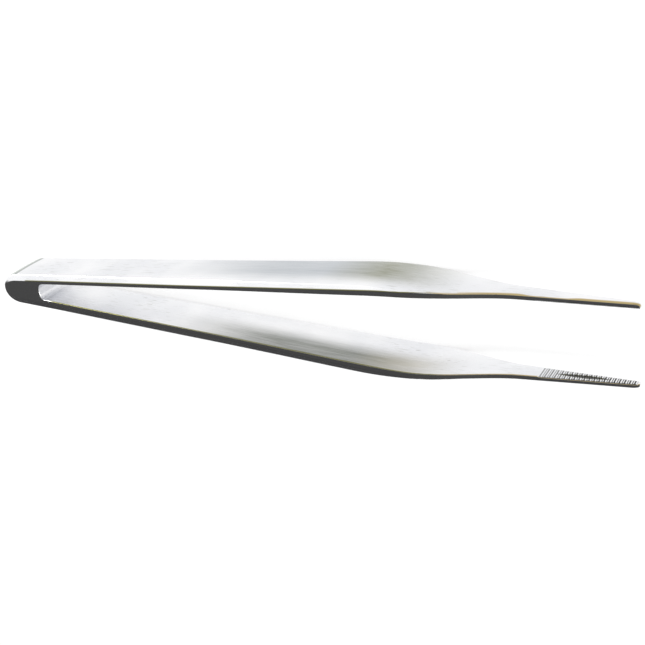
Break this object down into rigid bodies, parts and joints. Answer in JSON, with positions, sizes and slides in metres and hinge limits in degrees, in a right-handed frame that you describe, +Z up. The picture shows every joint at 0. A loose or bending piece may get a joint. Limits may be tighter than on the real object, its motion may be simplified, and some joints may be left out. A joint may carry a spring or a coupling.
{
  "type": "thumb forceps",
  "caption": "Straight thumb forceps in one piece: two springy arms joined at a rounded butt, hollowed grips and narrow serrated jaws that taper to blunt tips.",
  "frame": {"origin": "middle of the bounding box's bottom face: half way along the length, on the middle plane between the arms, at the level of the lowest side edges", "axes": "+X from the butt to the tips, +Y the way one arm opens, +Z up across the width of the arms, which lie on their side edges"},
  "size_m": [0.145, 0.0198, 0.0133],
  "materials": {
    "stainless_steel": "satin"
  },
  "bodies": {
    "root": {"forceps": "stainless_steel"}
  },
  "joints": []
}
